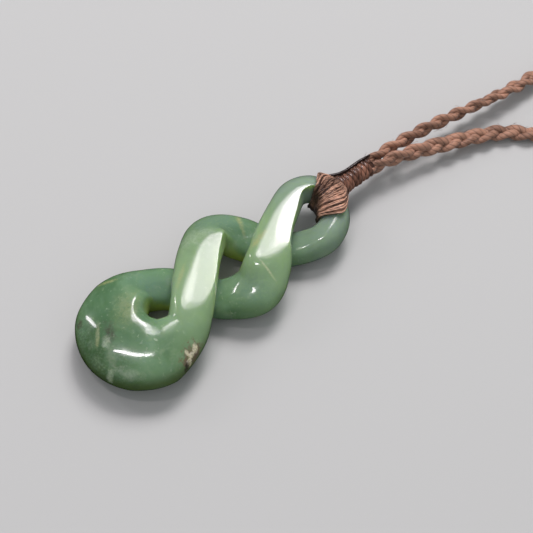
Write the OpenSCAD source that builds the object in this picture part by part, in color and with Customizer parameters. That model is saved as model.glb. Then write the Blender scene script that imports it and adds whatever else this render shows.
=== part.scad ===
// Jade twist pendant: a carved stone on a bound neck and a plaited cord.
// The stone lies flat on z = 0, with its long axis along Y and the cord toward +Y.
// The origin is at the middle of the footprint of stone and cord together.

/* [Stone] */
// Length of the stone, from the foot of the big loop to the top of the eye
stone_len = 54; // [50:0.5:58]
// Thickness of the slab that the stone was carved from
slab = 8.8; // [8.6:0.1:9.2]
// Squareness of the strand's section, where 2 is an ellipse
squareness = 2.4; // [2.2:0.1:2.6]
// How softly a crest runs into the slab's flat face on the side of its ridge
ridge_soft = 0.08; // [0.06:0.01:0.2]
// How softly it does on its open side
open_soft = 0.45; // [0.2:0.05:0.6]

/* [Binding] */
// Depth of the threads laid on the stone
thread_depth = 0.6; // [0.4:0.05:0.7]
// Room between the stone and the threads
binding_gap = 0.1; // [0.05:0.05:0.15]
// How far the fan of threads reaches past the stone before the neck begins
throat = 1.3; // [1:0.1:2]

/* [Neck] */
// Length of the whipped neck
neck_len = 6.8; // [5.2:0.2:7.6]
// Radius of the threads under the whipping
neck_core_r = 1.35; // [1.2:0.05:1.5]
// How far the whipping cord stands out from them
neck_cord_h = 0.35; // [0.25:0.05:0.45]
// Turns of cord on the neck
neck_turns = 7; // [5:1:9]

/* [Plaited cord] */
// Width of the flat plait
plait_w = 3.0; // [2.6:0.1:3.2]
// Thickness of the flat plait
plait_t = 2.0; // [1.8:0.1:2.0]

/* [Hidden] */

// Columns of a station: a point that the strand runs through, how far it reaches to
// the right and left of it seen from above, how thick it is, how far its crest stands
// off to the right, how far its right edge is rolled up, and how much sharper its
// crest is than the rest
X = 0;
Y = 1;
Z = 2;
RIGHT = 3;
LEFT = 4;
THICK = 5;
CREST = 6;
ROLL = 7;
SHARP = 8;

// The stations are written for a stone of this length
table_len = 52.8;
grow = stone_len / table_len;

// From the top of the eye down to the big loop
going_down = [
    // x,    y,    z,  right, left, thick, crest, roll, sharp
    [ 0.9, 50.5, 4.6,  2.3,  2.3,  4.7,   0.6,   6,  0.1],
    [ 4.5, 49.0, 4.3,  2.4,  2.4,  4.7,   0,   -15,  0],
    [ 6.2, 45.4, 3.7,  3.0,  2.4,  4.8,   0,   -22,  0],
    [ 5.0, 41.7, 2.7,  3.4,  2.5,  4.4,   0,   -10,  0],
    [ 1.4, 38.0, 2.0,  3.1,  3.5,  4.3,   0,     0,  0],
    [-3.2, 34.6, 2.8,  3.9,  3.7,  4.9,  -0.2,   2,  0],
    [-5.4, 30.6, 4.7,  4.5,  3.2,  5.5,  -1.7, -16,  0],
    [-3.9, 26.5, 6.4,  3.9,  3.8,  5.4,  -2.4, -20,  0],
    [-0.4, 22.5, 7.0,  3.7,  3.8,  4.7,  -1.4,  -8,  0],
    [ 2.8, 19.3, 6.6,  3.6,  3.7,  5.1,  -0.5,   4,  0],
];
// From the big loop up to the top of the eye
going_up = [
    [-3.7, 19.4, 2.5,  3.8,  3.4,  4.8,   0,    -8,  0],
    [-0.5, 22.4, 2.0,  3.5,  3.3,  4.2,   0,     0,  0],
    [ 3.6, 25.3, 2.6,  3.8,  3.4,  4.7,   0,     6,  0],
    [ 5.4, 29.6, 4.1,  5.3,  3.3,  5.5,   0.2,   0,  0],
    [ 4.4, 33.6, 6.1,  4.4,  3.6,  5.3,   0.4, -14,  0],
    [ 1.5, 37.7, 7.1,  3.1,  3.1,  4.8,   1.5,   2,  0],
    [-1.1, 42.0, 7.0,  2.7,  2.7,  5.0,   1.6,  14,  0],
    [-3.1, 46.1, 6.1,  2.4,  2.5,  5.1,   2.6,  24,  0.4],
    [-2.2, 49.3, 5.5,  2.3,  2.3,  5.1,   1.8,  24,  0.3],
];

// The big loop: its rim is a circle, and its hole a smaller one off the middle
rim_at = [0.2, 10.8];
rim_r = 10.8;
hole_at = [-0.1, 14.9];
hole_r = 1.9;
spine_r = 5;
// Its stations stand at these angles round the hole
loop_stations = [
    // angle,  z, thick, crest, roll, sharp
    [  10,   5.3,  6.1,   0.4,   6,  0],
    [ -30,   4.6,  7.1,   1.6,   0,  0.1],
    [ -60,   4.1,  7.7,   2.8,   0,  0.5],
    [ -90,   4.0,  8.0,   3.3,   0,  0.8],
    [-120,   3.9,  7.9,   3.4,   0,  1],
    [-153,   3.8,  7.5,   2.6,   0,  0.8],
    [-186,   3.2,  6.1,   0.9,  -9,  0.1],
];

// How far the rim is from the middle of the hole, in a direction
function to_rim(way) =
    let (off = hole_at - rim_at, along = off * way)
    sqrt(along * along - off * off + rim_r * rim_r) - along;
function loop_station(row) =
    let (way = [cos(row[0]), sin(row[0])], at = hole_at + spine_r * way)
    [at[0], at[1], row[1], spine_r - hole_r, to_rim(way) - spine_r,
        row[2], row[3], row[4], row[5]];
function sized(row) = [for (i = [X : SHARP]) i < ROLL ? row[i] * grow : row[i]];

stations = [for (row = concat(going_down, [for (r = loop_stations) loop_station(r)], going_up))
    sized(row)];
// How steeply a section leans over to its crest
crest_power = 3;
stone_steps = 6;
stone_sides = 34;

// The neck runs along Y from here
neck_at = [0.3, stone_len + throat, 4.6];

// The binding covers the strand this far to each side of this station, counted from the
// top of the eye
bind_middle = 0.06;
bind_half = 1.26;
// Its width on the outer side of the eye, beside that in the hole
bind_outer_share = 0.72;
binding_rings = 18;
binding_sides = 32;

// The plait's way round the neck, from the middle of the neck's end and up from z = 0:
// a point, how far the plait is turned on its edge, and its size beside the full one
TURN = 3;
SIZE = 4;
route = [
    //  x,   y,   z,  turn, size
    [-0.85,  0.2, 4.5,  90, 0.8],
    [-0.8,   2.5, 4.4,  90, 0.9],
    [-0.5,   7,   4.3,  90, 1],
    [ 0.2,  13.5, 4.1,  90, 1],
    [ 1.3,  20.5, 3.6,  80, 1],
    [ 2.5,  28.5, 2.9,  50, 1],
    [ 3.2,  36.5, 2,    20, 1],
    [ 3.4,  46,   1.2,   0, 1],
    [ 3.3,  65,   0.96,  0, 1],
    [ 2,    90,   0.96,  0, 1],
    [ 0,   120,   0.96,  0, 1],
    [ 0,   150,   0.96,  0, 1],
    [ 2,   180,   0.96,  0, 1],
    [ 7,   210,   0.96,  0, 1],
    [17,   237,   0.96,  0, 1],
    [33,   259,   0.96,  0, 1],
    [54,   269,   0.96,  0, 1],
    [76,   266,   0.96,  0, 1],
    [95,   251,   0.96,  0, 1],
    [107,  228,   0.96,  0, 1],
    [112,  201,   0.96,  0, 1],
    [110,  172,   0.96,  0, 1],
    [103,  143,   0.96,  0, 1],
    [91,   115,   0.96,  0, 1],
    [75,    90,   0.96,  0, 1],
    [56,    68,   0.96,  0, 1],
    [39,    52,   0.96,  0, 1],
    [26,    40,   0.96,  0, 1],
    [17,    33,   0.96,  0, 1],
    [11.6,  28.5, 1.1,   0, 1],
    [ 8.2,  24.5, 1.4,   0, 1],
    [ 6,    19.5, 2.1,   5, 1],
    [ 4.6,  15,   2.9,  20, 1],
    [ 3.2,  10.5, 3.7,  50, 1],
    [ 1.9,   6,   4.3,  80, 1],
    [ 1.15,  2.5, 4.5,  90, 0.9],
    [ 0.85,  0.2, 4.5,  90, 0.8],
];
cord_steps = 2;
cord_sides = 8;

// Vector helpers
function unit(v) = v / norm(v);
function mix(a, b, t) = a + (b - a) * t;
function place3(row) = [row[X], row[Y], row[Z]];

// Catmull-Rom spline through b and c, and its slope
function curve(a, b, c, d, t) =
    b + t * (c - a) / 2 + t * t * (2 * a - 5 * b + 4 * c - d) / 2
    + t * t * t * (3 * b - 3 * c + d - a) / 2;
function slope(a, b, c, d, t) =
    (c - a) / 2 + t * (2 * a - 5 * b + 4 * c - d) + 3 * t * t * (3 * b - 3 * c + d - a) / 2;

// A closed superellipse, as wide and thick as it is told
function rounded_power(v, square) = sign(v) * pow(abs(v), 2 / square);
function section_point(a, wide, thick, square) =
    [rounded_power(cos(a), square) * wide / 2, rounded_power(sin(a), square) * thick / 2];
function side_angle(i, sides) = 360 * (i + 0.5) / sides;

// A point of a section that stands square to the way that the strand runs
function spot(p, middle, way, turn) =
    let (
        ahead = unit(way),
        side = unit(cross(ahead, [0, 0, 1])),
        up = cross(side, ahead),
        c = cos(turn),
        s = sin(turn)
    )
    middle + side * (p[0] * c - p[1] * s) + up * (p[0] * s + p[1] * c);

// Triangles of a skin over rings of equal size, closed round each ring
function skin(rings, sides, closed, first = 0) =
    let (last = closed ? rings : rings - 1)
    [for (r = [0 : last - 1]) for (i = [0 : sides - 1])
        let (
            j = (i + 1) % sides,
            a = first + r * sides,
            b = first + ((r + 1) % rings) * sides
        )
        each [[a + i, b + j, b + i], [a + i, a + j, b + j]]];

// The strand of the stone at a place counted in stations, with room added all round it
function station(i) = stations[(i + len(stations)) % len(stations)];
function strand_row(u) =
    let (i = floor(u)) curve(station(i - 1), station(i), station(i + 1), station(i + 2), u - i);
function strand_way(u) =
    let (i = floor(u))
    place3(slope(station(i - 1), station(i), station(i + 1), station(i + 2), u - i));
function strand_section(row, a, room) =
    let (
        wide = row[RIGHT] + row[LEFT] + 2 * room,
        high = rounded_power(sin(a), squareness),
        square = squareness - (high > 0 ? row[SHARP] : 0)
    )
    [
        rounded_power(cos(a), square) * wide / 2 + row[CREST] * pow(max(high, 0), crest_power),
        high * (row[THICK] + 2 * room) / 2,
    ];
function strand_point(u, a, room) =
    let (
        row = strand_row(u),
        way = strand_way(u),
        side = unit(cross(way, [0, 0, 1])),
        middle = place3(row) + side * (row[RIGHT] - row[LEFT]) / 2,
        p = strand_section(row, a, room)
    )
    filed(spot(p, middle, way, row[ROLL]), room, file_soft(row[CREST], a));

// The slab's flat faces are left on the crests, front and back. The front one has a crisp
// edge at the ridge and a soft one on the open side.
function file_soft(crest, a) =
    let (one_sided = crest / sqrt(1 + crest * crest))
    mix(ridge_soft, open_soft, min(1, max(0, 0.5 - 0.8 * cos(a) * one_sided)));
function under(v, top, soft) = top - soft * ln(1 + exp((top - v) / soft));
function filed(p, room, soft) =
    [p[0], p[1], -under(-under(p[2], slab + room, soft), room, ridge_soft)];

stone_points = [for (u = [0 : 1 / stone_steps : len(stations) - 0.5 / stone_steps])
    for (i = [0 : stone_sides - 1]) strand_point(u, side_angle(i, stone_sides), 0)];

// The binding's outer and inner rings. Outside, the threads leave the outer side of the
// eye and run together in the round mouth of the neck.
bind_mouth_r = neck_core_r + neck_cord_h;
function across(r) = 2 * r / (binding_rings - 1) - 1;
function bind_point(r, a, room) =
    let (share = mix(bind_outer_share, 1, (1 + cos(a)) / 2))
    strand_point(bind_middle + bind_half * across(r) * share, a, room);
function bind_gather(off) = let (t = min(1, max(0, (50 - off) / 38))) t * t * (3 - 2 * t);
function bind_mouth(across, a) =
    let (high = min(1, max(-1, (180 - a) / 25)))
    neck_at + bind_mouth_r * [sin(70 * across), 0, cos(70 * across) * high];
function bind_depth(across) = thread_depth * (0.45 + 0.55 * sqrt(1 - across * across));
function bind_outer(r, a) =
    mix(bind_point(r, a, binding_gap + bind_depth(across(r))), bind_mouth(across(r), a),
        bind_gather(abs(a - 180)));

// The plait at a place counted in route points
function leg(i) = route[max(0, min(len(route) - 1, i))];
function cord_row(u) =
    let (i = floor(u)) curve(leg(i - 1), leg(i), leg(i + 1), leg(i + 2), u - i);
function cord_way(u) =
    let (i = floor(u)) place3(slope(leg(i - 1), leg(i), leg(i + 1), leg(i + 2), u - i));
function cord_point(u, a) =
    let (
        row = cord_row(u),
        from = [neck_at[0], neck_at[1] + neck_len, 0],
        p = section_point(a, plait_w * row[SIZE], plait_t * row[SIZE], 2.4)
    )
    spot(p, from + place3(row), cord_way(u), row[TURN]);
cord_rings = cord_steps * (len(route) - 1) + 1;
cord_points = [for (r = [0 : cord_rings - 1])
    for (i = [0 : cord_sides - 1])
        cord_point(min(r / cord_steps, len(route) - 1.001), side_angle(i, cord_sides))];

// The middle of the footprint is the origin
all_x = [for (p = concat(stone_points, cord_points)) p[0]];
all_y = [for (p = concat(stone_points, cord_points)) p[1]];
middle = [(min(all_x) + max(all_x)) / 2, (min(all_y) + max(all_y)) / 2, 0];

// One closed strand of jade with two crossings
module jade_twist() {
    color("seagreen")
        polyhedron(stone_points, skin(len(stations) * stone_steps, stone_sides, true));
}

// The threads that wrap the top of the eye, as one shell with the strand through it
module eye_binding() {
    count = binding_rings * binding_sides;
    last = count - binding_sides;
    places = [for (r = [0 : binding_rings - 1]) for (i = [0 : binding_sides - 1])
        [r, side_angle(i, binding_sides)]];
    points = concat(
        [for (at = places) bind_outer(at[0], at[1])],
        [for (at = places) bind_point(at[0], at[1], binding_gap)]);
    outside = skin(binding_rings, binding_sides, false);
    inside = [for (f = skin(binding_rings, binding_sides, false, count)) [f[2], f[1], f[0]]];
    ends = [for (i = [0 : binding_sides - 1])
        let (j = (i + 1) % binding_sides)
        each [
            [i, count + i, count + j], [i, count + j, j],
            [last + i, count + last + j, count + last + i],
            [last + i, last + j, count + last + j],
        ]];
    color("peru")
        polyhedron(points, concat(outside, inside, ends));
}

// The neck, whipped with cord, where the threads are gathered
module neck_whipping() {
    pitch = neck_len / neck_turns;
    round_steps = 6;
    profile = concat(
        [[0, 0]],
        [for (turn = [0 : neck_turns - 1]) for (i = [0 : round_steps])
            let (a = 180 * i / round_steps)
            [neck_core_r + neck_cord_h * sin(a), (turn + 0.5 - cos(a) * 0.48) * pitch]],
        [[0, neck_len]]);
    color("saddlebrown")
        translate(neck_at)
            rotate([-90, 0, 0])
                rotate_extrude($fn = 48)
                    polygon(profile);
}

// The flat plait, one tube all the way round from one side of the neck to the other
module plaited_cord() {
    last = (cord_rings - 1) * cord_sides;
    ends = [for (i = [1 : cord_sides - 2])
        each [[0, i + 1, i], [last, last + i, last + i + 1]]];
    color("rosybrown")
        polyhedron(cord_points, concat(skin(cord_rings, cord_sides, false), ends));
}

module placed() {
    translate(-middle)
        children();
}

placed() jade_twist();
placed() eye_binding();
placed() neck_whipping();
placed() plaited_cord();
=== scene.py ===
"""Jade twist pendant on a plaited cord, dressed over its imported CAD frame."""
import math
import random

import bpy
import numpy as np
from mathutils import Matrix, Vector
from mathutils.bvhtree import BVHTree


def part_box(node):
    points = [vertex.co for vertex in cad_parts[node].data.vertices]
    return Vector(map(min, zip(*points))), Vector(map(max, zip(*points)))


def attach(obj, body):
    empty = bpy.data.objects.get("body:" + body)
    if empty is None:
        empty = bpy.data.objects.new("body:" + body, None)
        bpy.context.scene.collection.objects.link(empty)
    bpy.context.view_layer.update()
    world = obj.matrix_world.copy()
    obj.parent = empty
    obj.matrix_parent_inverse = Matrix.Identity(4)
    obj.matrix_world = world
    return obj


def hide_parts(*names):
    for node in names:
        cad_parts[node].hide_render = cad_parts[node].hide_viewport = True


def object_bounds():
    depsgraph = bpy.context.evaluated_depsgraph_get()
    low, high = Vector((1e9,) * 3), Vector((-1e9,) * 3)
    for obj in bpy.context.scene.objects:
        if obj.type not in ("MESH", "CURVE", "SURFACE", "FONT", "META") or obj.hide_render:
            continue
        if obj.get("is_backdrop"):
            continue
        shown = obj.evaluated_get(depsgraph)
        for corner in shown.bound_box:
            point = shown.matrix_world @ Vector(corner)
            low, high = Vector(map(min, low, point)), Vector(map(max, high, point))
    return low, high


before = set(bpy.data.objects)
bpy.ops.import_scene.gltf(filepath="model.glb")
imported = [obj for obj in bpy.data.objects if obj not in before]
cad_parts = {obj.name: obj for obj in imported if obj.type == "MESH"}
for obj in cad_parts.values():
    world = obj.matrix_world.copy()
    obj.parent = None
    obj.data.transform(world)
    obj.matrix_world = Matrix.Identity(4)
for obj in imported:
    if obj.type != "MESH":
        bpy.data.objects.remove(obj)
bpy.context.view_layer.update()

# Camera
# The picture is taken from above the pendant's foot, at 60 degrees, with a long lens.
# Places are in millimetres from the middle of the stone's foot, as the carver measures them.
# The lower end of the neck's middle line lies at NECK_X, NECK_Y.
MM = 0.001
NECK_X, NECK_Y = 0.3, 55.3
neck_low, neck_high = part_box("neck_whipping")
FOOT = np.array([(neck_low.x + neck_high.x) / 2 - NECK_X * MM, neck_low.y - NECK_Y * MM, 0.0])


def in_metres(points):
    """From the carver's millimetres to metres in the frame."""
    return np.asarray(points, float) * MM + FOOT


def toward(azimuth, elevation):
    """A direction: azimuth turns from the stone's foot round to its right, elevation goes up."""
    a, e = math.radians(azimuth), math.radians(elevation)
    return np.array([math.sin(a) * math.cos(e), -math.cos(a) * math.cos(e), math.sin(e)])


VIEW_AZIMUTH, VIEW_ELEVATION, VIEW_DISTANCE = 50.6, 60, 308
PICTURE = 533
LENS_PIXELS = 1821
SENSOR_WIDTH = 36
# The stone's middle, and where it lies in the picture: left of the middle and a little below
STONE_MIDDLE = np.array([0.0, 27.0, 4.6])
STONE_ACROSS, STONE_DOWN = 215, 274

to_camera = toward(VIEW_AZIMUTH, VIEW_ELEVATION)
across_picture = toward(VIEW_AZIMUTH + 90, 0)
up_picture = np.cross(to_camera, across_picture)
look = (
    -to_camera * LENS_PIXELS
    + across_picture * (PICTURE / 2 - STONE_ACROSS)
    + up_picture * (STONE_DOWN - PICTURE / 2))
look /= np.linalg.norm(look)
camera_right = across_picture - look * (across_picture @ look)
camera_right /= np.linalg.norm(camera_right)
camera_up = np.cross(camera_right, look)

bpy.ops.object.select_all(action="DESELECT")
bpy.ops.object.camera_add(location=in_metres(STONE_MIDDLE + to_camera * VIEW_DISTANCE))
camera = bpy.context.object
camera.name = "camera"
camera.rotation_euler = Matrix((camera_right, camera_up, -look)).transposed().to_euler()
camera.data.sensor_width = SENSOR_WIDTH
camera.data.lens = LENS_PIXELS / PICTURE * SENSOR_WIDTH
camera.data.clip_start = 0.01
camera.data.clip_end = 20
bpy.context.scene.camera = camera

# Table
# A plain pale sheet, far wider than the view, that the stone and its cord lie on. The stone's
# polish doesn't mirror it.
bpy.ops.object.select_all(action="DESELECT")
bpy.ops.mesh.primitive_plane_add(size=6, location=(0, 0, 0))
table = bpy.context.object
table.name = "table"
table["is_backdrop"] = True
table.visible_glossy = False


def dial(made, values):
    """Sets inputs of a shader node, each to a plain value or to what another node puts out."""
    for name, value in values.items():
        if isinstance(value, bpy.types.NodeSocket):
            made.id_data.links.new(value, made.inputs[name])
        else:
            made.inputs[name].default_value = value


def new_finish(name):
    """A new material, with its nodes and its shader."""
    finish = bpy.data.materials.new(name)
    finish.use_nodes = True
    return finish, finish.node_tree, finish.node_tree.nodes["Principled BSDF"]


table_finish, _, table_shader = new_finish("pale_table")
dial(table_shader, {"Base Color": (0.5, 0.5, 0.49, 1), "Roughness": 0.75, "Specular IOR Level": 0.2})
table.data.materials.append(table_finish)

# Lights
# Three nested softboxes behind the pendant, which its carved flats mirror, with a faint one
# beside them, a narrow lamp at the left and a bar nearly overhead for its glints. A key and
# a fill light it without being mirrored, and the room gives the rest.
WHITE = (1, 1, 1)
ROSY = (1, 0.92, 0.97)
lamps = [
    # Name, azimuth, elevation, distance in millimetres, width and height in metres, watts,
    # and whether the stone's polish mirrors it
    ["softbox_middle", -140, 57, 900, 0.18, 0.16, 0.66, True],
    ["softbox_inner", -133, 57, 930, 0.32, 0.26, 0.85, True],
    ["softbox_edge", -131, 58, 960, 0.48, 0.38, 1.0, True],
    ["key", -150, 50, 1000, 0.40, 0.40, 5.2, False],
    ["fill", 20, 50, 1000, 0.6, 0.6, 0.6, False],
    ["softbox_low", -114, 61, 900, 0.14, 0.14, 0.22, True],
    ["lamp_left", -76, 36, 800, 0.04, 0.28, 0.42, True],
    ["bar_above", -50, 74, 800, 0.03, 0.21, 0.6, True],
]
for name, azimuth, elevation, away, wide, tall, watts, mirrored in lamps:
    direction = toward(azimuth, elevation)
    bpy.ops.object.light_add(type="AREA", location=in_metres(STONE_MIDDLE + direction * away))
    lamp = bpy.context.object
    lamp.name = name
    lamp.data.shape = "ELLIPSE"
    lamp.data.size = wide
    lamp.data.size_y = tall
    lamp.data.energy = watts
    lamp.data.color = ROSY if mirrored else WHITE
    lamp.rotation_euler = Vector(direction).to_track_quat("Z", "Y").to_euler()
    lamp.visible_glossy = mirrored
    lamp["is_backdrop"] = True

world = bpy.data.worlds.new("room")
bpy.context.scene.world = world
world.use_nodes = True
dial(world.node_tree.nodes["Background"], {"Color": (0.92, 0.96, 1.0, 1), "Strength": 0.42})
world.cycles_visibility.glossy = False
bpy.context.scene.view_settings.view_transform = "Standard"
bpy.context.scene.view_settings.look = "None"

# Stone
# One closed strand of nephrite jade, carved with a double twist, so that it crosses itself
# twice, then polished. The two upper crests are left with a flat of the slab's face.
STONE_LEN = 54.0
SLAB = 8.8
SQUARENESS = 2.4
CREST_POWER = 3
# How soft the edge of a flat is at its ridge and on its open side, and how quickly the one
# goes over into the other
RIDGE_SOFT = 0.08
OPEN_SOFT = 0.45
SOFTENING = 0.8
# The stations are written for a stone of this length
TABLE_LEN = 52.8
GROW = STONE_LEN / TABLE_LEN
RIGHT, LEFT, THICK, CREST, ROLL, SHARP = 3, 4, 5, 6, 7, 8

# A station is a point on the strand, its reach to the right and left, its thickness, how
# far its crest stands off to the right, how far its right edge is rolled up, and how
# much sharper the crest is than the rest. These go from the top of the eye to the big loop.
going_down = [
    [0.9, 50.5, 4.6, 2.3, 2.3, 4.7, 0.6, 6, 0.1],
    [4.5, 49.0, 4.3, 2.4, 2.4, 4.7, 0, -15, 0],
    [6.2, 45.4, 3.7, 3.0, 2.4, 4.8, 0, -22, 0],
    [5.0, 41.7, 2.7, 3.4, 2.5, 4.4, 0, -10, 0],
    [1.4, 38.0, 2.0, 3.1, 3.5, 4.3, 0, 0, 0],
    [-3.2, 34.6, 2.8, 3.9, 3.7, 4.9, -0.2, 2, 0],
    [-5.4, 30.6, 4.7, 4.5, 3.2, 5.5, -1.7, -16, 0],
    [-3.9, 26.5, 6.4, 3.9, 3.8, 5.4, -2.4, -20, 0],
    [-0.4, 22.5, 7.0, 3.7, 3.8, 4.7, -1.4, -8, 0],
    [2.8, 19.3, 6.6, 3.6, 3.7, 5.1, -0.5, 4, 0],
]
# These go from the big loop back up to the top of the eye
going_up = [
    [-3.7, 19.4, 2.5, 3.8, 3.4, 4.8, 0, -8, 0],
    [-0.5, 22.4, 2.0, 3.5, 3.3, 4.2, 0, 0, 0],
    [3.6, 25.3, 2.6, 3.8, 3.4, 4.7, 0, 6, 0],
    [5.4, 29.6, 4.1, 5.3, 3.3, 5.5, 0.2, 0, 0],
    [4.4, 33.6, 6.1, 4.4, 3.6, 5.3, 0.4, -14, 0],
    [1.5, 37.7, 7.1, 3.1, 3.1, 4.8, 1.5, 2, 0],
    [-1.1, 42.0, 7.0, 2.7, 2.7, 5.0, 1.6, 14, 0],
    [-3.1, 46.1, 6.1, 2.4, 2.5, 5.1, 2.6, 24, 0.4],
    [-2.2, 49.3, 5.5, 2.3, 2.3, 5.1, 1.8, 24, 0.3],
]
# The big loop: its rim is a circle, and its hole a smaller one off the middle
RIM_AT, RIM_R = np.array([0.2, 10.8]), 10.8
HOLE_AT, HOLE_R = np.array([-0.1, 14.9]), 1.9
SPINE_R = 5.0
# Its stations: an angle round the hole, height, thickness, crest, roll and sharpness
loop_rows = [
    [10, 5.3, 6.1, 0.4, 6, 0],
    [-30, 4.6, 7.1, 1.6, 0, 0.1],
    [-60, 4.1, 7.7, 2.8, 0, 0.5],
    [-90, 4.0, 8.0, 3.3, 0, 0.8],
    [-120, 3.9, 7.9, 3.4, 0, 1.0],
    [-153, 3.8, 7.5, 2.6, 0, 0.8],
    [-186, 3.2, 6.1, 0.9, -9, 0.1],
]


def loop_station(angle, z, thick, crest, roll, sharp):
    """A station of the big loop, which reaches from the hole's edge to the rim."""
    way = np.array([math.cos(math.radians(angle)), math.sin(math.radians(angle))])
    off = HOLE_AT - RIM_AT
    ahead = off @ way
    to_rim = math.sqrt(ahead * ahead - off @ off + RIM_R * RIM_R) - ahead
    at = HOLE_AT + SPINE_R * way
    return [at[0], at[1], z, SPINE_R - HOLE_R, to_rim - SPINE_R, thick, crest, roll, sharp]


stations = np.array(going_down + [loop_station(*row) for row in loop_rows] + going_up, float)
stations[:, :ROLL] *= GROW


def smooth_row(rows, u, closed):
    """A smooth curve through rows of numbers: its row at place u, and the way that it goes."""
    i = math.floor(u)
    t = u - i
    last = len(rows) - 1
    near = [k % len(rows) if closed else max(0, min(last, k)) for k in range(i - 1, i + 3)]
    a, b, c, d = rows[near]
    bend = 2 * a - 5 * b + 4 * c - d
    wind = 3 * b - 3 * c + d - a
    row = b + t * (c - a) / 2 + t * t * bend / 2 + t ** 3 * wind / 2
    way = (c - a) / 2 + t * bend + 3 * t * t * wind / 2
    return row, way[:3]


def square_to(way):
    """The direction to the right of a way, seen from above, and the one square to both."""
    ahead = way / np.linalg.norm(way)
    side = np.cross(ahead, (0, 0, 1))
    side /= np.linalg.norm(side)
    return side, np.cross(side, ahead)


def rounded(v, square):
    """A sine or cosine, for a section that is rounder or squarer than an ellipse, which is 2."""
    return np.sign(v) * np.abs(v) ** (2 / square)


def under(v, top, soft):
    """The lower of v and top, with a soft corner between them."""
    return top - soft * np.log1p(np.exp((top - v) / soft))


def on_strand(u, angles, room=0.0):
    """Points of the strand's skin, at angles round the section at a place counted in stations.

    Room is how far they stand off it. The flats are filed down to the slab's face.
    """
    row, way = smooth_row(stations, u, True)
    side, up_side = square_to(way)
    middle = row[:3] + side * (row[RIGHT] - row[LEFT]) / 2
    half_wide = (row[RIGHT] + row[LEFT] + 2 * room) / 2
    half_thick = (row[THICK] + 2 * room) / 2
    z = rounded(np.sin(angles), SQUARENESS)
    x = rounded(np.cos(angles), SQUARENESS - row[SHARP] * (z > 0)) * half_wide
    x = x + row[CREST] * np.maximum(z, 0) ** CREST_POWER
    z = z * half_thick
    c, s = math.cos(math.radians(row[ROLL])), math.sin(math.radians(row[ROLL]))
    points = middle + np.outer(x * c - z * s, side) + np.outer(x * s + z * c, up_side)
    one_sided = row[CREST] / math.sqrt(1 + row[CREST] ** 2)
    open_side = np.clip(0.5 - SOFTENING * np.cos(angles) * one_sided, 0, 1)
    soft = RIDGE_SOFT + (OPEN_SOFT - RIDGE_SOFT) * open_side
    points[:, 2] = -under(-under(points[:, 2], SLAB + room, soft), room, RIDGE_SOFT)
    return points


def closed_skin(rings, sides):
    """Faces over rings of equal size, closed round each ring and from the last to the first."""
    faces = []
    for r in range(rings):
        a, b = r * sides, (r + 1) % rings * sides
        for i in range(sides):
            j = (i + 1) % sides
            faces.append((a + i, b + i, b + j, a + j))
    return faces


def new_piece(name, points, faces, slot, *nodes):
    """A piece from its points in millimetres, in place of the nodes that it replaces."""
    mesh = bpy.data.meshes.new(name)
    mesh.from_pydata(in_metres(points).tolist(), [], faces)
    mesh.shade_smooth()
    piece = bpy.data.objects.new(name, mesh)
    bpy.context.scene.collection.objects.link(piece)
    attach(piece, "root")
    if nodes:
        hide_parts(*nodes)
    return piece


def note(piece, name, values):
    """Keeps a value for each point of a piece, which its finish reads."""
    kept = piece.data.attributes.new(name, "FLOAT", "POINT")
    kept.data.foreach_set("value", values)


STONE_STEPS, STONE_SIDES = 20, 88
round_section = (np.arange(STONE_SIDES) + 0.5) / STONE_SIDES * 2 * math.pi
stone_rings = len(stations) * STONE_STEPS
stone_points = np.concatenate([on_strand(k / STONE_STEPS, round_section) for k in range(stone_rings)])
stone = new_piece("stone", stone_points, closed_skin(stone_rings, STONE_SIDES), "jade", "jade_twist")

# How thin the stone is at each point, from 0 where it is thick to 1 at a thin edge. A ray goes
# in from just under the skin, and comes out on the other side.
THICK_STONE = 7 * MM
UNDER_SKIN = 0.05 * MM
RAY_REACH = 20 * MM
corners = stone.data.vertices
skin_tree = BVHTree.FromPolygons([v.co for v in corners], [p.vertices for p in stone.data.polygons])
thinness = []
for v in corners:
    hit = skin_tree.ray_cast(v.co - v.normal * UNDER_SKIN, -v.normal, RAY_REACH)
    thick = hit[3] if hit[3] is not None else RAY_REACH
    thinness.append(max(0.0, min(1.0, 1 - thick / THICK_STONE)))
note(stone, "thin", thinness)

# How pale the stone is along the strand: the two upper bands are the palest
pale_places = [0, 3, 5, 6, 8, 9.5, 11, 14, 17, 19, 20.5, 22, 24, 26]
pale_values = [0.2, 0.2, 0.15, 0.5, 1, 0.8, 0.3, 0, 0.1, 0.15, 0.8, 1, 0.5, 0.2]
ring_places = np.arange(stone_rings) / STONE_STEPS
note(stone, "pale", np.repeat(np.interp(ring_places, pale_places, pale_values), STONE_SIDES))

# How far the skin leans out of the level, from 0 on top and underneath to 1 where it is
# upright, and whether it then faces a hole or the outside
LEVEL_BELOW, LEANS_BELOW = -0.9, -0.5
HOLE_EDGE = 2
upward = np.array([v.normal.z for v in corners])
not_below = np.clip((upward - LEVEL_BELOW) / (LEANS_BELOW - LEVEL_BELOW), 0, 1)
lean = np.clip(1 - upward, 0, 1) * not_below
right_places = [3.6, 4, 9.3, 10.5, 17.8, 18.2, 21.8, 22.6]
left_places = [3.9, 4.3, 9, 9.6, 17.6, 18, 21.5, 22.3]
hole_right = np.interp(ring_places, right_places, [1, 0, 0, 1, 1, 0, 0, 1])
hole_left = np.interp(ring_places, left_places, [0, 1, 1, 0, 0, 1, 1, 0])
to_right = np.outer(hole_right, np.maximum(np.cos(round_section), 0))
to_left = np.outer(hole_left, np.maximum(-np.cos(round_section), 0))
facing_hole = np.clip((to_right + to_left) * HOLE_EDGE, 0, 1).ravel()
big_loop = np.repeat(np.interp(ring_places, [9, 10.5, 16.5, 18], [0.2, 1, 1, 0.2]), STONE_SIDES)
# Painted shade on the big loop's outer sides, which lean away from the level
note(stone, "flank_shade", lean * (1 - facing_hole) * big_loop)
# Painted light: a yellow green glow on the walls that face the holes
note(stone, "hole_wall_glow", lean * facing_hole)


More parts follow.
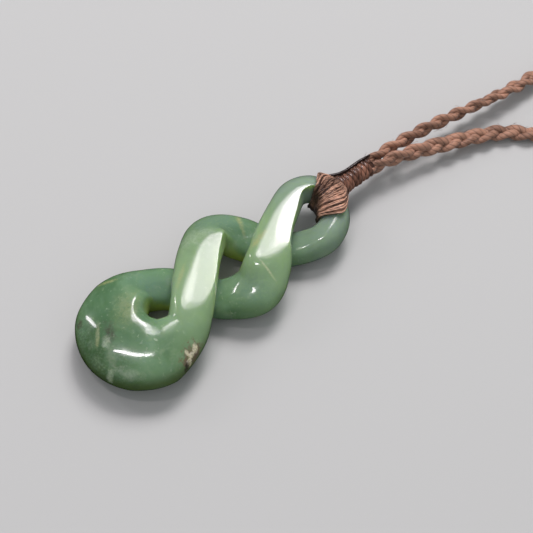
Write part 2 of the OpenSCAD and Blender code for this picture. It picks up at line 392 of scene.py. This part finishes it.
def node(tree, kind, values, **settings):
    made = tree.nodes.new(kind)
    for name, value in settings.items():
        setattr(made, name, value)
    dial(made, values)
    return made


def mixed(tree, share, first, second):
    """A mix of two colours, all first where share is 0 and all second where it is 1."""
    parts = {0: share, 6: first, 7: second}
    return node(tree, "ShaderNodeMix", parts, data_type="RGBA").outputs[2]


def ranged(tree, value, low, high, out_low=0.0, out_high=1.0):
    """A smooth step from out_low to out_high, where value goes from low to high."""
    ends = {"Value": value, "From Min": low, "From Max": high, "To Min": out_low, "To Max": out_high}
    return node(tree, "ShaderNodeMapRange", ends, interpolation_type="SMOOTHSTEP").outputs["Result"]


def maths(tree, operation, *values):
    return node(tree, "ShaderNodeMath", dict(enumerate(values)), operation=operation).outputs[0]


def noted(tree, name):
    """What note kept for each point."""
    return node(tree, "ShaderNodeAttribute", {}, attribute_name=name).outputs["Fac"]


jade, jade_tree, jade_shader = new_finish("nephrite_jade")
place = node(jade_tree, "ShaderNodeTexCoord", {}).outputs["Object"]
along_stone = node(jade_tree, "ShaderNodeSeparateXYZ", {0: place}).outputs["Y"]


def clouds(scale, detail, rough, warp=0.0):
    looks = {"Vector": place, "Scale": scale, "Detail": detail, "Roughness": rough, "Distortion": warp}
    return node(jade_tree, "ShaderNodeTexNoise", looks).outputs["Fac"]


# The jade's greens, each laid over those before it where its share goes from one value to the
# other, up to a strength
EYE_FROM, EYE_FULL = FOOT[1] + 36 * MM, FOOT[1] + 48 * MM
greens = [
    # Clouds, wisps and fine specks
    [clouds(110, 4, 0.55, 0.6), 0.35, 0.66, 1, (0.165, 0.285, 0.165)],
    [clouds(420, 3, 0.6, 0.3), 0.52, 0.74, 0.45, (0.27, 0.36, 0.23)],
    [clouds(1500, 2, 0.5), 0.6, 0.78, 0.35, (0.42, 0.5, 0.36)],
    # Painted shade: olive and darker down the big loop's outer side, as shade falls there.
    # Painted light: yellow green on the walls that face the holes, for light glowing through them. Pale
    # on the bands
    [noted(jade_tree, "flank_shade"), 0, 1, 0.85, (0.065, 0.1, 0.022)],
    [noted(jade_tree, "hole_wall_glow"), 0.3, 0.95, 0.85, (0.36, 0.45, 0.08)],
    [noted(jade_tree, "pale"), 0, 1, 0.7, (0.30, 0.42, 0.24)],
    # Bluer and greyer up at the eye
    [along_stone, EYE_FROM, EYE_FULL, 0.85, (0.25, 0.33, 0.26)],
    # Painted light: thin edges are painted a yellow green, for the light that comes through them
    [noted(jade_tree, "thin"), 0.3, 0.9, 0.5, (0.28, 0.42, 0.14)],
]
jade_colour = (0.085, 0.175, 0.085, 1)
for share, low, high, strength, green in greens:
    amount = ranged(jade_tree, share, low, high, 0, strength)
    jade_colour = mixed(jade_tree, amount, jade_colour, (*green, 1))

brown, cream, dark_brown = (0.19, 0.15, 0.1), (0.72, 0.67, 0.52), (0.06, 0.05, 0.035)
smoke, milk, tan = (0.085, 0.085, 0.065), (0.42, 0.5, 0.38), (0.44, 0.42, 0.2)
shade_green, bluish = (0.05, 0.085, 0.038), (0.14, 0.235, 0.18)
straw, olive = (0.5, 0.5, 0.3), (0.3, 0.34, 0.17)
# A mark in the stone: its middle, its half length and half width, how far it is turned from
# the right, its colour and strength, and how ragged and how soft its edge is. It goes at
# least LEAST_DEPTH up and down.
LEAST_DEPTH = 1.2
marks = [
    # Painted shade: darker round the foot, where the light falls off. Cooler at the big loop's top and
    # at the middle loop's ends, and at its right end the cooler mark is also painted shadow, where the
    # crossing shades it
    [(0.0, 1.0, 5.5), (9.5, 3.9), 0, shade_green, 0.64, 1.2, 0.8],
    [(-3.6, 16.9, 5.7), (4.5, 2.4), 15, bluish, 0.6, 1.6, 0.8],
    [(-6.5, 33.0, 6.8), (4.5, 2.6), 60, bluish, 0.65, 1.6, 0.8],
    [(7.4, 29.6, 6.5), (3.6, 2.2), 10, bluish, 0.5, 1.6, 0.8],
    # The rind left at the big loop's right: brown ground, cream blobs and a dark tip
    [(10.4, 13.6, 6.3), (2.5, 1.7), -56, brown, 1.4, 2.4, 0.3],
    [(9.8, 14.7, 6.9), (0.8, 0.5), -30, cream, 1.0, 1.8, 0.3],
    [(10.2, 13.6, 6.6), (0.7, 0.4), -80, cream, 1.0, 1.8, 0.3],
    [(10.8, 12.8, 5.9), (0.6, 0.4), -50, cream, 0.9, 1.8, 0.3],
    [(9.7, 13.1, 7.0), (0.5, 0.35), 0, cream, 0.8, 1.8, 0.3],
    [(11.1, 11.9, 5.2), (0.8, 0.35), -60, dark_brown, 1.0, 1.4, 0.3],
    # Smoke and milk on the big loop's flat
    [(-1.1, 5.5, 7.7), (1.8, 1.0), -40, smoke, 0.8, 3.0, 0.6],
    [(-0.2, 4.1, 7.4), (1.2, 0.6), -40, milk, 0.6, 2.8, 0.6],
    [(-2.1, 3.8, 7.0), (1.6, 0.3), -40, straw, 0.5, 1.6, 0.7],
    [(6.4, 3.7, 6.5), (2.0, 0.8), 35, milk, 0.5, 3.2, 0.7],
    [(4.5, 1.2, 5.2), (1.1, 0.45), -50, milk, 0.7, 2.4, 0.6],
    [(2.6, 3.0, 7.0), (2.2, 0.9), -30, milk, 0.3, 3.2, 0.7],
    [(5.0, 10.4, 8.1), (0.4, 0.18), 20, milk, 0.8, 0.8, 0.4],
    [(-6.2, 3.2, 5.8), (0.9, 0.5), -40, smoke, 0.9, 1.8, 0.4],
    [(-9.5, 11.5, 6.1), (1.5, 0.3), 66, tan, 0.5, 1.8, 0.7],
    [(-2.7, 10.4, 8.0), (3.0, 1.8), -50, olive, 0.5, 1.8, 0.9],
    # Streaks, a web and a healed crack on the bands and the middle loop
    [(-1.6, 20.9, 8.4), (2.0, 0.35), -54, tan, 0.4, 1.6, 0.7],
    [(1.2, 35.4, 8.4), (1.8, 0.5), 104, tan, 0.55, 1.6, 0.8],
    [(6.5, 33.05, 8.1), (2.1, 0.16), -2, cream, 0.42, 1.0, 0.8],
    [(-5.5, 36.8, 5.1), (1.0, 0.4), -20, tan, 0.55, 1.8, 0.9],
    [(-3.9, 36.1, 5.3), (1.7, 0.3), -22, tan, 0.4, 1.4, 0.9],
    [(-5.8, 28.2, 8.0), (2.8, 1.6), 60, milk, 0.45, 4.0, 0.8],
]
edge_noise = clouds(800, 5, 0.65, 0.6)
grain = ranged(jade_tree, clouds(2400, 3, 0.6, 0.4), 0.35, 0.6, 0.45, 1)
for at, (long, wide), turn, mark_colour, strength, ragged, soft in marks:
    shape = {
        "Vector": place,
        "Location": in_metres(at),
        "Rotation": (0, 0, math.radians(turn)),
        "Scale": (long * MM, wide * MM, max(wide, LEAST_DEPTH) * MM),
    }
    from_middle = node(jade_tree, "ShaderNodeMapping", shape, vector_type="TEXTURE").outputs["Vector"]
    far = node(jade_tree, "ShaderNodeVectorMath", {0: from_middle}, operation="LENGTH").outputs["Value"]
    torn = maths(jade_tree, "MULTIPLY_ADD", edge_noise, ragged, far)
    edge = 1 + ragged / 2
    mask = ranged(jade_tree, torn, edge - soft, edge + soft, strength, 0)
    cloudy = maths(jade_tree, "MULTIPLY", mask, grain)
    jade_colour = mixed(jade_tree, cloudy, jade_colour, (*mark_colour, 1))

hollows = {"Strength": 0.08, "Distance": 0.2 * MM, "Height": clouds(260, 2, 0.5)}
dial(jade_shader, {
    "Base Color": jade_colour,
    "Roughness": ranged(jade_tree, clouds(700, 3, 0.6), 0.3, 0.75, 0.05, 0.13),
    "Normal": node(jade_tree, "ShaderNodeBump", hollows).outputs["Normal"],
    "IOR": 1.61,
    "Coat Weight": 0.4,
    "Coat Roughness": 0.27,
    "Subsurface Weight": 0.85,
    "Subsurface Radius": (0.85, 1.0, 0.35),
    "Subsurface Scale": 5 * MM,
})
stone.data.materials.append(jade)

# Eye binding
# A bundle of waxed threads from the neck. It fans over the top of the eye, dives into its
# hole and comes back round underneath.
NECK_AT = np.array([NECK_X, NECK_Y, 4.6])
NECK_LEN = 6.8
NECK_CORE_R = 1.35
NECK_CORD_H = 0.35
BINDING_GAP = 0.1
# The binding covers the strand this far to each side of this station, and its width on the
# outer side of the eye beside that in the hole
BIND_MIDDLE = 0.06
BIND_HALF = 1.26
BIND_OUTER_SHARE = 0.72
# The threads leave the stone for the neck's mouth between the first two angles from the
# neck's side. They fan out to both sides of the mouth, and the last angle is where they have
# crossed from its middle to its top or bottom.
GATHER_FROM, GATHER_BY = 60, 14
MOUTH_R = NECK_CORE_R + NECK_CORD_H - 0.4
MOUTH_FAN = 70
MOUTH_TURN = 25


def between(v, low, high):
    """0 where v is at low or before it, and 1 where it is at high or past it."""
    return min(1, max(0, (v - low) / (high - low)))


def on_binding(across, angle, room):
    """A point over the eye's strand: across from -1 to 1, and angle round the section in degrees."""
    share = BIND_OUTER_SHARE + (1 - BIND_OUTER_SHARE) * (1 + math.cos(math.radians(angle))) / 2
    u = BIND_MIDDLE + BIND_HALF * across * share
    skin = on_strand(u, np.array([math.radians(angle)]), room)[0]
    t = between(abs(angle - 180), GATHER_FROM, GATHER_BY)
    gather = t * t * (3 - 2 * t)
    high = min(1, max(-1, (180 - angle) / MOUTH_TURN))
    fan = math.radians(MOUTH_FAN * across)
    mouth = NECK_AT + MOUTH_R * np.array([math.sin(fan), 0, math.cos(fan) * high])
    return skin * (1 - gather) + mouth * gather


def carried_frames(points, start):
    """A frame for each point of a line, carried along it without twist from a first direction."""
    ways = np.gradient(points, axis=0)
    ways /= np.linalg.norm(ways, axis=1)[:, None]
    first = start - ways[0] * (start @ ways[0])
    sides = [first / np.linalg.norm(first)]
    for way in ways[1:]:
        side = sides[-1] - way * (sides[-1] @ way)
        sides.append(side / np.linalg.norm(side))
    sides = np.array(sides)
    return sides, np.cross(ways, sides)


def length_along(points):
    """How far each point of a line is from its start, along the line."""
    steps = np.linalg.norm(np.diff(points, axis=0), axis=1)
    return np.concatenate([[0], np.cumsum(steps)])


ANY_DIRECTION = np.array([0.31, 0.22, 0.93])


def threads(name, lines, sides, finish, slot, *nodes):
    """One mesh of many threads, with a map that runs along and round each of them.

    A line is its points, its half width and half thickness, its tone, and its frames or None.
    """
    points, faces, maps, tones = [], [], [], []
    turn = np.arange(sides) / sides * 2 * math.pi
    for centre, half_wide, half_thick, tone, frames in lines:
        first = len(points)
        centre = np.asarray(centre, float)
        n = len(centre)
        side, lift = frames if frames is not None else carried_frames(centre, ANY_DIRECTION)
        wide = np.broadcast_to(half_wide, n)
        thick = np.broadcast_to(half_thick, n)
        length = length_along(centre)
        for k in range(n):
            out = np.outer(np.cos(turn) * wide[k], side[k])
            points.extend(centre[k] + out + np.outer(np.sin(turn) * thick[k], lift[k]))
        for r in range(n - 1):
            for i in range(sides):
                j = (i + 1) % sides
                a, b = first + r * sides, first + (r + 1) * sides
                faces.append((a + i, a + j, b + j, b + i))
                low, high = i / sides, (i + 1) / sides
                near, far = length[r], length[r + 1]
                maps.extend([(near, low), (near, high), (far, high), (far, low)])
        last = first + (n - 1) * sides
        faces.append(tuple(first + i for i in reversed(range(sides))))
        faces.append(tuple(last + i for i in range(sides)))
        maps.extend([(0, 0)] * sides + [(length[-1], 0)] * sides)
        tones.extend(np.repeat(np.broadcast_to(tone, n), sides))
    piece = new_piece(name, points, faces, slot, *nodes)
    layer = piece.data.uv_layers.new(name="thread")
    layer.data.foreach_set("uv", np.array(maps, float).ravel())
    note(piece, "tone", tones)
    piece.data.materials.append(finish)
    return piece


# Twisted fibre: the plies and hairs of a waxed thread, for all the cords. Its input Thread runs
# along the thread in millimetres, and round it from 0 to 1.
fibre = bpy.data.node_groups.new("twisted fibre", "ShaderNodeTree")
fibre.interface.new_socket("Thread", in_out="INPUT", socket_type="NodeSocketVector")
for name in ("Plies", "Pitch", "Hairs"):
    fibre.interface.new_socket(name, in_out="INPUT", socket_type="NodeSocketFloat")
for name in ("Height", "Groove", "Hair"):
    fibre.interface.new_socket(name, in_out="OUTPUT", socket_type="NodeSocketFloat")
PLY_ROUNDNESS = 0.6
HAIR_HEIGHT = 0.7
HAIR_STRETCH = 0.9
asked = node(fibre, "NodeGroupInput", {}).outputs
thread = node(fibre, "ShaderNodeSeparateXYZ", {0: asked["Thread"]}).outputs
turns_on = maths(fibre, "DIVIDE", thread["X"], asked["Pitch"])
phase = maths(fibre, "SUBTRACT", thread["Y"], turns_on)
ply = maths(fibre, "MULTIPLY", maths(fibre, "MULTIPLY", phase, asked["Plies"]), math.pi)
ply = maths(fibre, "ABSOLUTE", maths(fibre, "SINE", ply))
ply = maths(fibre, "POWER", ply, PLY_ROUNDNESS)
turned = maths(fibre, "MULTIPLY", phase, 2 * math.pi)
hair_at = node(fibre, "ShaderNodeCombineXYZ", {
    "X": maths(fibre, "MULTIPLY", maths(fibre, "COSINE", turned), asked["Hairs"]),
    "Y": maths(fibre, "MULTIPLY", maths(fibre, "SINE", turned), asked["Hairs"]),
    "Z": maths(fibre, "MULTIPLY", thread["X"], HAIR_STRETCH),
}).outputs[0]
hair_looks = {"Vector": hair_at, "Scale": 1.0, "Detail": 2.0, "Roughness": 0.6}
hair = node(fibre, "ShaderNodeTexNoise", hair_looks).outputs["Fac"]
height = maths(fibre, "ADD", ply, maths(fibre, "MULTIPLY", hair, HAIR_HEIGHT))
node(fibre, "NodeGroupOutput", {"Height": height, "Groove": ply, "Hair": hair})

PATCH_SCALE = 380
HAIR_CONTRAST = 0.9


def waxed_cord(name, dark, pale, plies, pitch, hairs, bump, rough, sheen, patch, wax, groove_shading):
    """A cord's finish: painted shade in its grooves, pale on its plies, patchy along its length, and
    waxed.
    """
    made, tree, shader = new_finish(name)
    thread_map = node(tree, "ShaderNodeUVMap", {}, uv_map="thread").outputs[0]
    twist = {"Thread": thread_map, "Plies": plies, "Pitch": pitch, "Hairs": hairs}
    lay = node(tree, "ShaderNodeGroup", twist, node_tree=fibre)
    at = node(tree, "ShaderNodeTexCoord", {}).outputs["Object"]
    spots = {"Vector": at, "Scale": PATCH_SCALE, "Detail": 3.0}
    spot = node(tree, "ShaderNodeTexNoise", spots).outputs["Fac"]
    patches = maths(tree, "MULTIPLY", maths(tree, "SUBTRACT", spot, 0.5), patch * 2)
    streaks = maths(tree, "SUBTRACT", lay.outputs["Hair"], 0.5)
    streaks = maths(tree, "MULTIPLY", streaks, HAIR_CONTRAST)
    shade = maths(tree, "ADD", maths(tree, "ADD", noted(tree, "tone"), patches), streaks)
    # Painted shade: darker down in the grooves between the plies
    painted_groove_shade = ranged(tree, lay.outputs["Groove"], 0.1, 0.75, groove_shading, 1.0)
    shade = ranged(tree, maths(tree, "MULTIPLY", shade, painted_groove_shade), 0.0, 1.0)
    relief = {"Strength": 0.9, "Distance": bump * MM, "Height": lay.outputs["Height"]}
    dial(shader, {
        "Base Color": mixed(tree, shade, (*dark, 1), (*pale, 1)),
        "Normal": node(tree, "ShaderNodeBump", relief).outputs["Normal"],
        "Roughness": rough,
        "Sheen Weight": sheen,
        "Sheen Roughness": 0.4,
        "Coat Weight": wax,
        "Coat Roughness": 0.3,
    })
    return made


binding_finish = waxed_cord(
    "binding_thread", dark=(0.035, 0.012, 0.006), pale=(0.8, 0.45, 0.31), plies=2, pitch=2.2, hairs=6,
    bump=0.05, rough=0.35, sheen=0.15, patch=0.6, wax=0.4, groove_shading=0.35)
BIND_LAYERS = 3
BIND_THREADS = 32
LAYER_ROOM = 0.22
THREAD_R_LOW, THREAD_R_HIGH = 0.12, 0.2
SLANT = 0.07
# Each thread goes this far round the section to both sides, in steps, and keeps off the
# binding's very edge
BIND_END = 172
BIND_STEPS = 60
BIND_FILL = 0.97
BIND_EDGE = 0.98
# How much narrower the binding is underneath, how far it bulges over the neck's mouth, and
# how far each end of a thread goes on into the neck
UNDER_NARROWS = 0.45
THROAT_BULGE = 0.45
INTO_NECK = np.array([0, 1.2, 0])
# Painted shade: a thread is dark up to the first angle, where it dives into the hole, and has its full
# tone from the second. More painted shade takes half of that between the last two, where all run
# together.
HOLE_DARK, HOLE_PALE, THROAT_PALE, THROAT_DARK = 12, 57, 125, 165
HOLE_SHADE_TONE, THROAT_SHADE_TONE = 0.12, 0.5
rng = random.Random(7)
bundle = []
for layer in range(BIND_LAYERS):
    for k in range(BIND_THREADS):
        base = BIND_FILL * (-1 + 2 * (k + rng.uniform(0.2, 0.8)) / BIND_THREADS)
        slant = rng.uniform(-SLANT, SLANT) * (1 + layer)
        sway = rng.uniform(0, 2 * math.pi)
        # The threads are thickest and highest in the middle of the bundle. Their tones differ at
        # random, and over that they are painted palest in the middle, a painted highlight, and darker
        # towards the edges, painted shade
        full = math.sqrt(1 - base * base)
        radius = rng.uniform(THREAD_R_LOW, THREAD_R_HIGH) * (0.75 + 0.25 * full)
        own_tone = rng.uniform(0.02, 1.05) * (0.65 + 0.35 * full)
        stacked = LAYER_ROOM * layer * (0.25 + 0.75 * full)
        room = BINDING_GAP + radius + stacked + rng.uniform(0, 0.08)
        line, tone = [], []
        for step in range(BIND_STEPS + 1):
            angle = -BIND_END + 2 * BIND_END * step / BIND_STEPS
            across = base + slant * math.sin(math.radians(angle) + sway)
            across = max(-BIND_EDGE, min(BIND_EDGE, across))
            across *= 1 + UNDER_NARROWS * max(-1, min(0, angle) / 100)
            bulge = THROAT_BULGE * max(0, -math.cos(math.radians(angle)))
            line.append(on_binding(across, angle % 360, room + bulge))
            # Painted shade in the hole and where the threads run together at the throat
            hole_shade = HOLE_SHADE_TONE + (1 - HOLE_SHADE_TONE) * between(angle, HOLE_DARK, HOLE_PALE)
            throat_shade = 1 - (1 - THROAT_SHADE_TONE) * between(angle, THROAT_PALE, THROAT_DARK)
            tone.append(own_tone * hole_shade * throat_shade)
        line = [line[0] + INTO_NECK] + line + [line[-1] + INTO_NECK]
        tone = [tone[0]] + tone + [tone[-1]]
        bundle.append((line, radius, radius * 0.9, tone, None))
threads("binding_threads", bundle, 6, binding_finish, "waxed_thread", "eye_binding")

# Neck whipping
# Seven turns of waxed cord wound tightly round the gathered threads, with a turn and a half
# more as a looser collar at the throat, and a black thread end laid along the neck.
whipping_finish = waxed_cord(
    "whipping_cord", dark=(0.014, 0.006, 0.004), pale=(0.43, 0.195, 0.125), plies=3, pitch=2.6, hairs=7,
    bump=0.03, rough=0.3, sheen=0.1, patch=0.35, wax=1.0, groove_shading=0.35)
TURNS = 7
COLLAR_TURNS = 1.5
TURN_STEPS = 28
# The coil's first and last turns stay this far inside the neck's ends
END_ROOM = 0.45
# Half the cord's width beside the rise of a turn: over a half, so its turns press together
CORD_SHARE = 0.56
# Wound by hand, the turns differ a little in radius, place and tone
UNEVEN_R, UNEVEN_Y, UNEVEN_TONE = 0.06, 0.08, 0.15
# The collar stands off, tilts, rises less and is thinner, the more so the nearer the throat
COLLAR_OFF, COLLAR_TILT, COLLAR_LOW, COLLAR_THIN = 0.75, 0.25, 0.3, 0.12
cord_half = NECK_LEN / TURNS * CORD_SHARE
wound_r = NECK_CORE_R + NECK_CORD_H - cord_half
rise = (NECK_LEN - 2 * END_ROOM) / TURNS
coil, coil_half, coil_tone = [], [], []
for step in range(round((TURNS + COLLAR_TURNS) * TURN_STEPS) + 1):
    turn = step / TURN_STEPS - COLLAR_TURNS
    a = 2 * math.pi * turn
    loose = max(0, -turn) / COLLAR_TURNS
    r = wound_r + UNEVEN_R * math.sin(2.3 * turn + 1) + COLLAR_OFF * loose
    y = END_ROOM + turn * rise * (1 - COLLAR_LOW * loose) + UNEVEN_Y * math.sin(3.1 * turn)
    y += COLLAR_TILT * loose * math.cos(a)
    coil.append(NECK_AT + np.array([r * math.sin(a), y, r * math.cos(a)]))
    coil_half.append(cord_half * (1 - COLLAR_THIN * loose))
    own_tone = 0.62 + UNEVEN_TONE * math.sin(1.7 * turn)
    coil_tone.append(own_tone * (0.8 + 0.2 * math.sin(a - 0.3)))

# The gathered threads inside the coil
CORE_HALF = 1.3
core = [NECK_AT + np.array([0, y, 0]) for y in np.linspace(-0.2, NECK_LEN, 9)]

# The laid end's points from the neck's lower end, and its thickness, which tapers at both ends
LAID_STEPS = 40
laid_route = NECK_AT + np.array([
    [-2.9, -2.0, 1.3],
    [-2.2, -0.9, 1.5],
    [-1.55, 0.4, 1.45],
    [-1.3, 2.0, 1.3],
    [-1.3, 3.7, 1.25],
    [-1.25, 5.3, 1.3],
    [-1.15, 6.7, 1.2],
    [-1.3, 7.9, 0.7],
])
laid_places = np.linspace(0, len(laid_route) - 1.001, LAID_STEPS)
laid_end = [smooth_row(laid_route, u, False)[0] for u in laid_places]
laid_half = 0.34 - 0.14 * np.abs(np.linspace(-1, 1, LAID_STEPS)) ** 3
wound = [
    (coil, coil_half, coil_half, coil_tone, None),
    (core, CORE_HALF, CORE_HALF, 0.2, None),
    (laid_end, laid_half, laid_half, 0.02, None),
]
threads("neck_whipping_coil", wound, 12, whipping_finish, "whipping_cord", "neck_whipping")

# Plaited cord
# A flat plait of three waxed cords, in one piece from one side of the neck, round the
# wearer's neck and back to the other side. Both ends run a little way into the whipping.
PLAIT_W, PLAIT_T = 3.0, 2.0
PLAIT_PERIOD = 11.4
STRAND_HALF_W, STRAND_HALF_T = 0.7, 0.53
STRAND_TONES = [0.62, 0.7, 0.78]
plait_finish = waxed_cord(
    "plaited_cord", dark=(0.04, 0.019, 0.01), pale=(0.47, 0.243, 0.16), plies=3, pitch=3.0, hairs=9,
    bump=0.05, rough=0.5, sheen=0.3, patch=0.6, wax=0.1, groove_shading=0.5)

# A point from the middle of the neck's end and up from the table, how far the plait is
# turned on its edge there, and its size beside the full one
TURN, SIZE = 3, 4
route = np.array([
    [-0.7, -0.9, 4.5, 90, 0.85],
    [-0.75, 2.5, 4.4, 90, 1],
    [-0.5, 7, 4.3, 90, 1],
    [0.2, 13.5, 4.1, 90, 1],
    [1.3, 20.5, 3.6, 80, 1],
    [2.5, 28.5, 2.9, 50, 1],
    [3.2, 36.5, 2, 20, 1],
    [3.4, 46, 1.2, 0, 1],
    [3.3, 65, 0.96, 0, 1],
    [2, 90, 0.96, 0, 1],
    [0, 120, 0.96, 0, 1],
    [0, 150, 0.96, 0, 1],
    [2, 180, 0.96, 0, 1],
    [7, 210, 0.96, 0, 1],
    [17, 237, 0.96, 0, 1],
    [33, 259, 0.96, 0, 1],
    [54, 269, 0.96, 0, 1],
    [76, 266, 0.96, 0, 1],
    [95, 251, 0.96, 0, 1],
    [107, 228, 0.96, 0, 1],
    [112, 201, 0.96, 0, 1],
    [110, 172, 0.96, 0, 1],
    [103, 143, 0.96, 0, 1],
    [91, 115, 0.96, 0, 1],
    [75, 90, 0.96, 0, 1],
    [56, 68, 0.96, 0, 1],
    [39, 52, 0.96, 0, 1],
    [26, 40, 0.96, 0, 1],
    [17, 33, 0.96, 0, 1],
    [11.6, 28.5, 1.1, 0, 1],
    [8.2, 24.5, 1.4, 0, 1],
    [6, 19.5, 2.1, 5, 1],
    [4.6, 15, 2.9, 20, 1],
    [3.2, 10.5, 3.7, 50, 1],
    [1.9, 6, 4.3, 80, 1],
    [1.05, 2.5, 4.5, 90, 1],
    [0.7, -0.9, 4.5, 90, 0.85],
], float)

# The route is first walked in fine steps, then cut into stops of equal length
FINE_STEPS = 3600
PLAIT_STEP = 0.5
fine = [smooth_row(route, u, False) for u in np.linspace(0, len(route) - 1.0001, FINE_STEPS)]
fine_rows = np.array([row for row, way in fine])
fine_ways = np.array([way for row, way in fine])
fine_rows[:, :2] += np.array([NECK_AT[0], NECK_AT[1] + NECK_LEN])
run = length_along(fine_rows[:, :3])
stops = np.arange(0, run[-1], PLAIT_STEP)
rows = np.array([np.interp(stops, run, column) for column in fine_rows.T]).T
ways = np.array([np.interp(stops, run, column) for column in fine_ways.T]).T
ways /= np.linalg.norm(ways, axis=1)[:, None]
flat_side = np.cross(ways, (0, 0, 1))
flat_side /= np.linalg.norm(flat_side, axis=1)[:, None]
flat_up = np.cross(flat_side, ways)
on_edge = np.radians(rows[:, TURN])[:, None]
plait_side = flat_side * np.cos(on_edge) + flat_up * np.sin(on_edge)
plait_up = -flat_side * np.sin(on_edge) + flat_up * np.cos(on_edge)
size = rows[:, SIZE][:, None]

# Each strand goes over and under twice while it goes from side to side once
plait = []
for k, tone in enumerate(STRAND_TONES):
    swing = 2 * math.pi * (stops / PLAIT_PERIOD + k / 3)[:, None]
    out = (PLAIT_W / 2 - STRAND_HALF_W) * size * np.sin(swing)
    lift = (PLAIT_T / 2 - STRAND_HALF_T) * size * np.sin(2 * swing)
    line = rows[:, :3] + plait_side * out + plait_up * lift
    way = np.gradient(line, axis=0)
    way /= np.linalg.norm(way, axis=1)[:, None]
    flat = plait_side - way * np.sum(plait_side * way, axis=1)[:, None]
    flat /= np.linalg.norm(flat, axis=1)[:, None]
    half_wide, half_thick = STRAND_HALF_W * size[:, 0], STRAND_HALF_T * size[:, 0]
    plait.append((line, half_wide, half_thick, tone, (flat, np.cross(way, flat))))
threads("cord_plait", plait, 10, plait_finish, "plaited_cord", "plaited_cord")

# Frayed fibres
# Short loose fibres of the same waxed cord. They stand off the plait near both its ends, by
# the neck, and bend away from their strands.
FRAYED_EACH = 130
# How many of the plait's steps they reach from its start and from its end
FRAYED_START, FRAYED_END = 60, 75
# Their roots lie just under the strand's skin
ROOT_W, ROOT_T = 0.68, 0.5
FIBRE_HALF = 0.025
# A fibre that would come nearer to the table than this is left out
OFF_TABLE = 0.05
rng = random.Random(11)
frayed = []
for near_start in (False, True):
    for _ in range(FRAYED_EACH):
        at = rng.uniform(0, FRAYED_START) if near_start else len(stops) - 1 - rng.uniform(0, FRAYED_END)
        strand = plait[rng.randrange(3)]
        strand_line, (side, lift) = strand[0], strand[-1]
        i = max(1, min(len(stops) - 2, int(at)))
        round_at = rng.uniform(0, 2 * math.pi)
        out = side[i] * math.cos(round_at) * ROOT_W + lift[i] * math.sin(round_at) * ROOT_T
        start = strand_line[i] + out
        along = (strand_line[i + 1] - strand_line[i - 1]) * rng.choice((-1, 1))
        along /= np.linalg.norm(along)
        away = out / np.linalg.norm(out)
        sideways = np.cross(along, away) * rng.uniform(-0.7, 0.7)
        reach = rng.uniform(0.5, 1.3)
        curl = rng.uniform(0.1, 0.45)
        line = []
        for t in np.linspace(0, 1, 6):
            line.append(start + (along + sideways) * reach * t + away * reach * curl * t * (1.6 - t))
        if min(p[2] for p in line) > OFF_TABLE:
            frayed.append((line, FIBRE_HALF, FIBRE_HALF, rng.uniform(0.4, 1.0), None))
threads("frayed_fibres", frayed, 4, plait_finish, "plaited_cord")

# Sizes, for the comparison with the frame
# Sizes of all that is shown
low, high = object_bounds()
